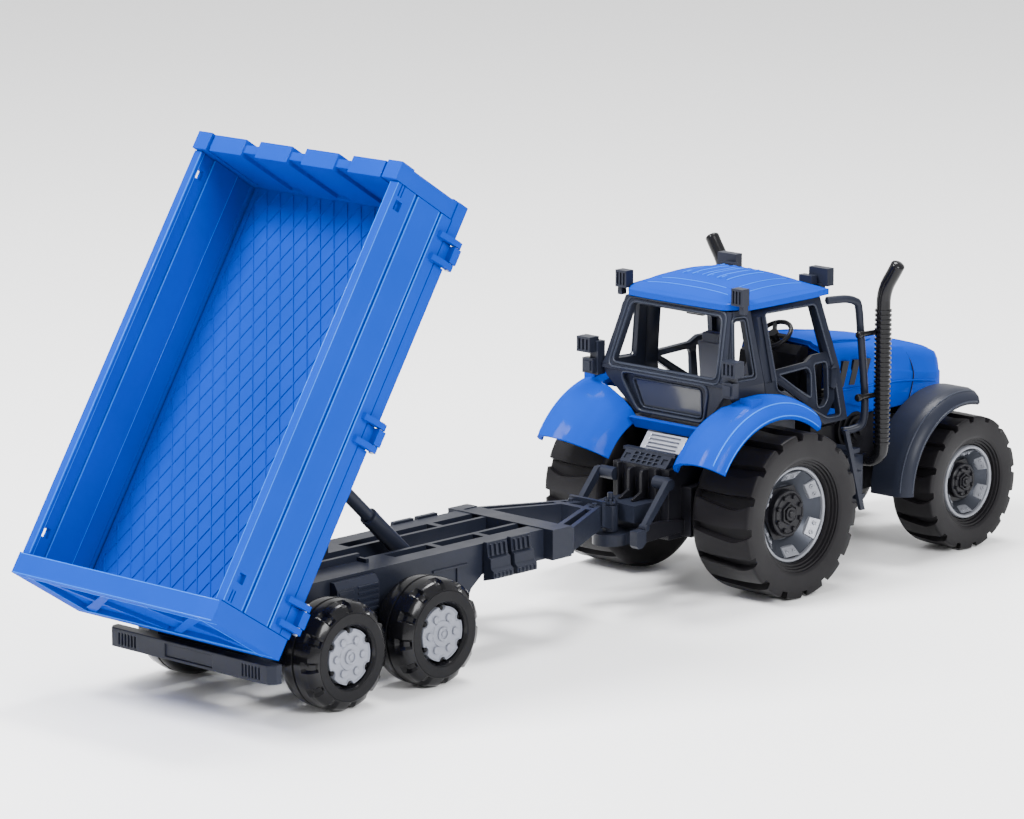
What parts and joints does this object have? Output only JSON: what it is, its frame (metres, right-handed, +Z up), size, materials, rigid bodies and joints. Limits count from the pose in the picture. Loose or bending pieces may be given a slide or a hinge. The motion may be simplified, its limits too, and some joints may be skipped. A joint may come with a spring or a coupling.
{
  "type": "toy tractor with tipping trailer",
  "caption": "Toy farm tractor pulling a tipping trailer, with spinning wheels, a turning hitch, a strut-raised bed, and a folding tailgate and side boards.",
  "frame": {"origin": "centre of the bounding box's bottom face, on the ground below the middle of tractor and tipped trailer", "axes": "+X forwards, +Y to the left of the tractor, +Z up; the wheels stand on Z = 0"},
  "size_m": [0.6195, 0.1512, 0.2691],
  "materials": {
    "black_plastic": "satin moulded black plastic",
    "black_tyre": "smooth moulded black tyre",
    "blue_plastic": "satin moulded bright blue plastic",
    "grey_plastic": "matte mid-grey plastic",
    "silver_plastic": "matte silver paint on plastic",
    "slate_plastic": "satin moulded dark slate plastic",
    "steel": "plain drawn steel pin"
  },
  "bodies": {
    "tractor": {"tractor_chassis": "black_plastic", "engine_block": "black_plastic", "rear_axle": "steel", "front_axle": "steel", "rear_cover": "slate_plastic", "rear_grille": "silver_plastic", "three_point_linkage": "slate_plastic", "hitch_coupler": "slate_plastic", "hood": "blue_plastic", "front_grille": "black_plastic", "cab_frame": "slate_plastic", "cab_doors": "slate_plastic", "roof": "blue_plastic", "roof_lamps": "slate_plastic", "side_lamps": "slate_plastic", "seat": "grey_plastic", "cab_floor": "grey_plastic", "dashboard": "black_plastic", "ceiling_mirror": "black_plastic", "rear_fenders": "blue_plastic", "front_fenders": "slate_plastic", "exhaust_stacks": "black_plastic", "grab_rails": "slate_plastic", "access_steps": "slate_plastic"},
    "steering_wheel": {"steering_wheel": "black_plastic"},
    "rear_wheel_left": {"rear_tyre_left": "black_tyre", "rear_rim_left": "silver_plastic", "rear_hub_left": "black_plastic"},
    "rear_wheel_right": {"rear_tyre_right": "black_tyre", "rear_rim_right": "silver_plastic", "rear_hub_right": "black_plastic"},
    "front_wheel_left": {"front_tyre_left": "black_tyre", "front_rim_left": "silver_plastic", "front_hub_left": "black_plastic"},
    "front_wheel_right": {"front_tyre_right": "black_tyre", "front_rim_right": "silver_plastic", "front_hub_right": "black_plastic"},
    "trailer": {"trailer_chassis": "slate_plastic", "drawbar": "slate_plastic", "bumper": "slate_plastic", "side_steps": "slate_plastic", "tool_boxes": "slate_plastic", "trailer_axles": "steel", "tip_hinge_pin": "steel"},
    "trailer_wheel_front_left": {"trailer_tyre_front_left": "black_tyre", "trailer_disc_front_left": "silver_plastic"},
    "trailer_wheel_front_right": {"trailer_tyre_front_right": "black_tyre", "trailer_disc_front_right": "silver_plastic"},
    "trailer_wheel_rear_left": {"trailer_tyre_rear_left": "black_tyre", "trailer_disc_rear_left": "silver_plastic"},
    "trailer_wheel_rear_right": {"trailer_tyre_rear_right": "black_tyre", "trailer_disc_rear_right": "silver_plastic"},
    "strut_barrel": {"strut_barrel": "slate_plastic"},
    "strut_rod": {"strut_rod": "slate_plastic"},
    "bed": {"bed_floor": "blue_plastic", "bed_front_wall": "blue_plastic", "board_hinge_pins": "steel"},
    "tailgate": {"tailgate": "blue_plastic"},
    "side_board_left": {"side_board_left": "blue_plastic"},
    "side_board_right": {"side_board_right": "blue_plastic"}
  },
  "joints": [
    {"name": "rear_wheel_left_spin", "type": "hinge", "parent": "tractor", "child": "rear_wheel_left", "pos_m": [0.11829, 0.05, 0.045], "axis": [0, 1, 0], "continuous": true},
    {"name": "front_wheel_left_spin", "type": "hinge", "parent": "tractor", "child": "front_wheel_left", "pos_m": [0.27229, 0.05, 0.0375], "axis": [0, 1, 0], "continuous": true},
    {"name": "rear_wheel_right_spin", "type": "hinge", "parent": "tractor", "child": "rear_wheel_right", "pos_m": [0.11829, -0.05, 0.045], "axis": [0, 1, 0], "continuous": true},
    {"name": "front_wheel_right_spin", "type": "hinge", "parent": "tractor", "child": "front_wheel_right", "pos_m": [0.27229, -0.05, 0.0375], "axis": [0, 1, 0], "continuous": true},
    {"name": "steering_spin", "type": "hinge", "parent": "tractor", "child": "steering_wheel", "pos_m": [0.17525, 0, 0.12599], "axis": [-0.5736, 0, 0.8192], "continuous": true},
    {"name": "hitch_yaw", "type": "hinge", "parent": "tractor", "child": "trailer", "pos_m": [0.04449, 0, 0.045], "axis": [0, 0, 1], "range_deg": [-40, 40]},
    {"name": "trailer_wheel_front_left_spin", "type": "hinge", "parent": "trailer", "child": "trailer_wheel_front_left", "pos_m": [-0.14591, 0.05, 0.0275], "axis": [0, 1, 0], "continuous": true},
    {"name": "trailer_wheel_front_right_spin", "type": "hinge", "parent": "trailer", "child": "trailer_wheel_front_right", "pos_m": [-0.14591, -0.05, 0.0275], "axis": [0, 1, 0], "continuous": true},
    {"name": "trailer_wheel_rear_left_spin", "type": "hinge", "parent": "trailer", "child": "trailer_wheel_rear_left", "pos_m": [-0.21021, 0.05, 0.0275], "axis": [0, 1, 0], "continuous": true},
    {"name": "trailer_wheel_rear_right_spin", "type": "hinge", "parent": "trailer", "child": "trailer_wheel_rear_right", "pos_m": [-0.21021, -0.05, 0.0275], "axis": [0, 1, 0], "continuous": true},
    {"name": "bed_tip", "type": "hinge", "parent": "trailer", "child": "bed", "pos_m": [-0.24571, 0, 0.048], "axis": [0, -1, 0], "range_deg": [-57.6, 0]},
    {"name": "strut_swing", "type": "hinge", "parent": "trailer", "child": "strut_barrel", "pos_m": [-0.09951, 0, 0.0424], "axis": [0, -1, 0], "range_deg": [0, 32]},
    {"name": "strut_slide", "type": "slide", "parent": "strut_barrel", "child": "strut_rod", "axis": [-0.7322, 0, 0.6811], "range_m": [-0.0425, 0]},
    {"name": "tailgate_fold", "type": "hinge", "parent": "bed", "child": "tailgate", "pos_m": [-0.2605, 0, 0.03962], "axis": [0, -1, 0], "range_deg": [0, 70]},
    {"name": "side_board_left_fold", "type": "hinge", "parent": "bed", "child": "side_board_left", "pos_m": [-0.20057, 0.0732, 0.13779], "axis": [-0.5358, 0, -0.8443], "range_deg": [0, 100]},
    {"name": "side_board_right_fold", "type": "hinge", "parent": "bed", "child": "side_board_right", "pos_m": [-0.20057, -0.0732, 0.13779], "axis": [0.5358, 0, 0.8443], "range_deg": [0, 100]}
  ],
  "couplings": [
    {"joint": "strut_swing", "follows": "bed_tip", "ratio": -0.55},
    {"joint": "strut_slide", "follows": "bed_tip", "m_per_rad": 0.042}
  ]
}
